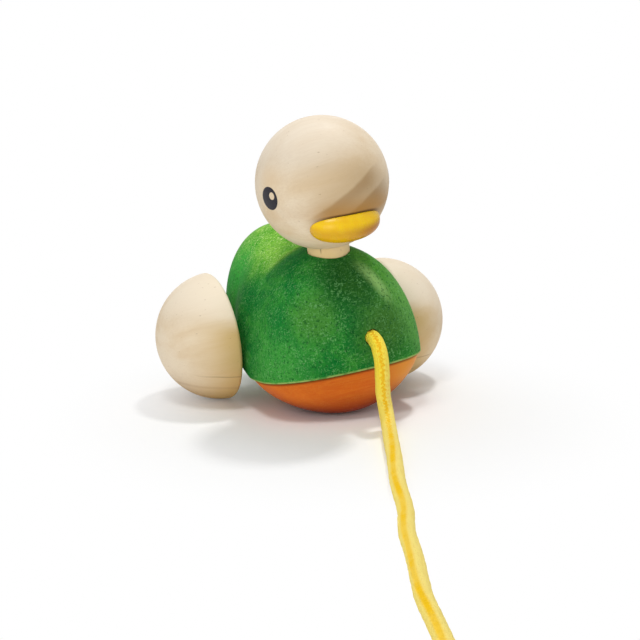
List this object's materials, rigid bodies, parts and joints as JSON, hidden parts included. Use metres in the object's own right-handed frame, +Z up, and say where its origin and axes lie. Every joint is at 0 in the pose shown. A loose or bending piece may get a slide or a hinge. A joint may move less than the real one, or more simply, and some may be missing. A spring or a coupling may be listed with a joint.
{
  "type": "pull-along toy duck",
  "caption": "Wooden pull-along duck with a ball head, green shell over an orange belly, and half-ball wheels set off-centre on one axle so that it waddles behind its cord.",
  "frame": {"origin": "middle of the toy's bounding box on the floor, cord left out", "axes": "the duck looks along -Y, its left is +X, up is +Z; it stands leaning 6.1 degrees to its right, as in the picture"},
  "size_m": [0.2181, 0.3679, 0.1135],
  "materials": {
    "natural_wood": "sanded, clear matt lacquer",
    "green_stain": "moulded wood dust, stained green with pale fibre specks, satin lacquer",
    "orange_stain": "stained orange, grain showing, satin lacquer",
    "yellow_paint": "yellow paint, semi-gloss",
    "steel": "drawn rod",
    "yellow_cord": "knitted tubular cord",
    "tie_paper": "plain paper band"
  },
  "bodies": {
    "body": {"body_shell": "green_stain", "belly": "orange_stain", "head": "natural_wood", "neck_dowel": "natural_wood", "bill": "yellow_paint", "bill_peg": "natural_wood", "cord_stop_knot": "yellow_cord", "cord_run": "yellow_cord", "cord_coil": "yellow_cord", "cord_tie": "tie_paper", "cord_end_knot": "yellow_cord"},
    "wheelset": {"axle": "steel", "wheel_right": "natural_wood", "wheel_left": "natural_wood", "axle_spacer_right": "natural_wood", "axle_spacer_left": "natural_wood"}
  },
  "joints": [
    {"name": "wheelset_spin", "type": "hinge", "parent": "body", "child": "wheelset", "pos_m": [0, 0.01151, 0.02481], "axis": [0.9944, 0, 0.106], "continuous": true}
  ]
}
